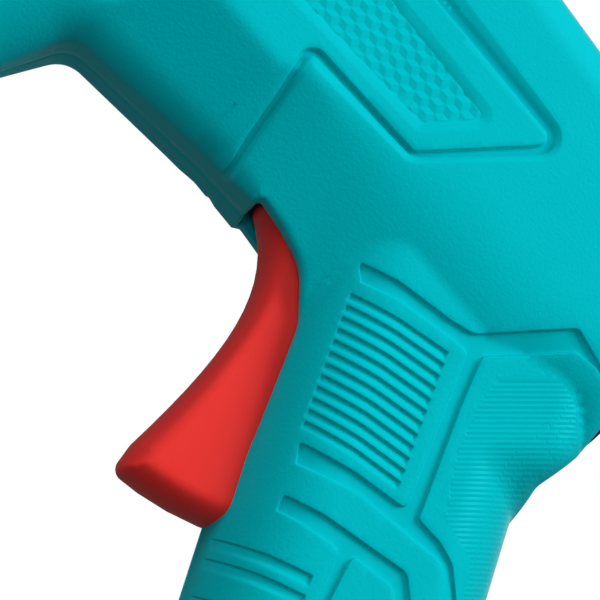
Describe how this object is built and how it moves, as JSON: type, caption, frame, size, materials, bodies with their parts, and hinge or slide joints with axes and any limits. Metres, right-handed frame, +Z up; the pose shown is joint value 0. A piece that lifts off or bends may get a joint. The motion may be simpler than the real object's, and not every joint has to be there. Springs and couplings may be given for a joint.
{
  "type": "hot glue gun",
  "caption": "Pistol-grip hot glue gun with a trigger-driven stick feed, heated barrel and fold-away wire stand.",
  "frame": {"origin": "centre of the glue stick inlet on the rear face, on the stick axis", "axes": "+X rearwards along the stick axis, away from the nozzle; +Z up; +Y towards the screw side"},
  "size_m": [0.218, 0.04, 0.1274],
  "materials": {
    "shell": "fine spark-eroded grain",
    "trigger_plastic": "satin",
    "trim_plastic": "fine grain",
    "feed_plastic": "satin",
    "sleeve_silicone": "matt",
    "boot_silicone": "matt",
    "pad_rubber": "matt",
    "ceramic": "unglazed ceramic",
    "chamber_alloy": "die cast",
    "nozzle_brass": "turned",
    "pin_steel": "ground",
    "spring_steel": "drawn",
    "screw_steel": "zinc plated",
    "stand_wire": "nickel plated",
    "lead_brown": "insulation",
    "lead_blue": "insulation"
  },
  "bodies": {
    "housing": {"housing_left": "shell", "housing_right": "shell", "housing_screws": "screw_steel", "trigger_pin": "pin_steel", "return_spring": "spring_steel", "stick_guide": "feed_plastic", "inlet_ring": "trim_plastic", "inlet_sleeve": "sleeve_silicone", "melt_chamber": "chamber_alloy", "heater_element": "ceramic", "heater_clip": "spring_steel", "rear_insulator": "ceramic", "front_insulator": "ceramic", "nozzle": "nozzle_brass", "nozzle_boot": "boot_silicone", "valve_ball": "pin_steel", "valve_spring": "spring_steel", "front_collar": "trim_plastic", "cord_gland": "boot_silicone", "cord_clamp": "feed_plastic", "clamp_screws": "screw_steel", "terminal_block": "ceramic", "lead_wire_live": "lead_brown", "lead_wire_neutral": "lead_blue", "base_pad": "pad_rubber"},
    "trigger": {"trigger": "trigger_plastic"},
    "carriage": {"feed_carriage": "feed_plastic", "jaw_pin": "pin_steel"},
    "jaw": {"feed_jaw": "pin_steel"},
    "stand": {"stand_bail": "stand_wire"}
  },
  "joints": [
    {"name": "trigger_pull", "type": "hinge", "parent": "housing", "child": "trigger", "pos_m": [-0.038, 0, -0.0165], "axis": [0, -1, 0], "range_deg": [0, 18], "stiffness_Nm_per_rad": 0.8, "springref_deg": -8.59},
    {"name": "feed_slide", "type": "slide", "parent": "housing", "child": "carriage", "axis": [-1, 0, 0], "range_m": [0, 0.0066], "deforming": ["return_spring"]},
    {"name": "jaw_grip", "type": "hinge", "parent": "carriage", "child": "jaw", "pos_m": [-0.03175, 0, 0.0115], "axis": [0, -1, 0], "range_deg": [0, 5]},
    {"name": "stand_fold", "type": "hinge", "parent": "housing", "child": "stand", "pos_m": [-0.109, 0, -0.038], "axis": [0, -1, 0], "range_deg": [0, 112]}
  ],
  "couplings": [
    {"joint": "feed_slide", "follows": "trigger_pull", "m_per_rad": 0.02067},
    {"joint": "jaw_grip", "follows": "trigger_pull", "ratio": 0.27}
  ]
}
